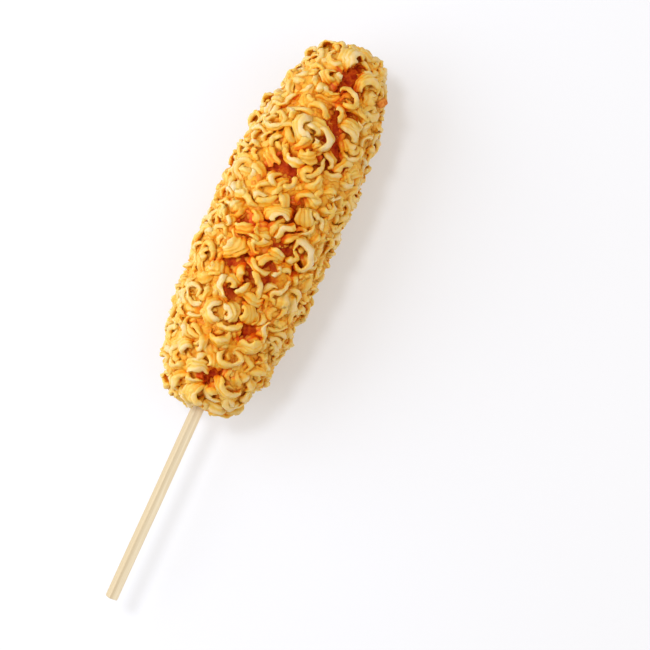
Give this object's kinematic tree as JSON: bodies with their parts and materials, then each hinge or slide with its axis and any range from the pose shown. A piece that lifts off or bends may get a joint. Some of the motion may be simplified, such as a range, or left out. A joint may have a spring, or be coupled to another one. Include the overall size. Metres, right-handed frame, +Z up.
{
  "type": "corn dog",
  "caption": "Fried corn dog on a square wooden stick, lying on its side, with a batter body coated all over in broken curly noodle bits.",
  "frame": {"origin": "under the middle of the whole, on the surface the food rests on", "axes": "+X along the stick towards the tip of the food, +Z up, +Y to the left of the stick seen from above"},
  "size_m": [0.2398, 0.0544, 0.0513],
  "materials": {
    "crust": "fried batter and noodle, slightly oily",
    "stick": "bare pale wood"
  },
  "bodies": {
    "root": {"crust": "crust", "stick": "stick"}
  },
  "joints": []
}
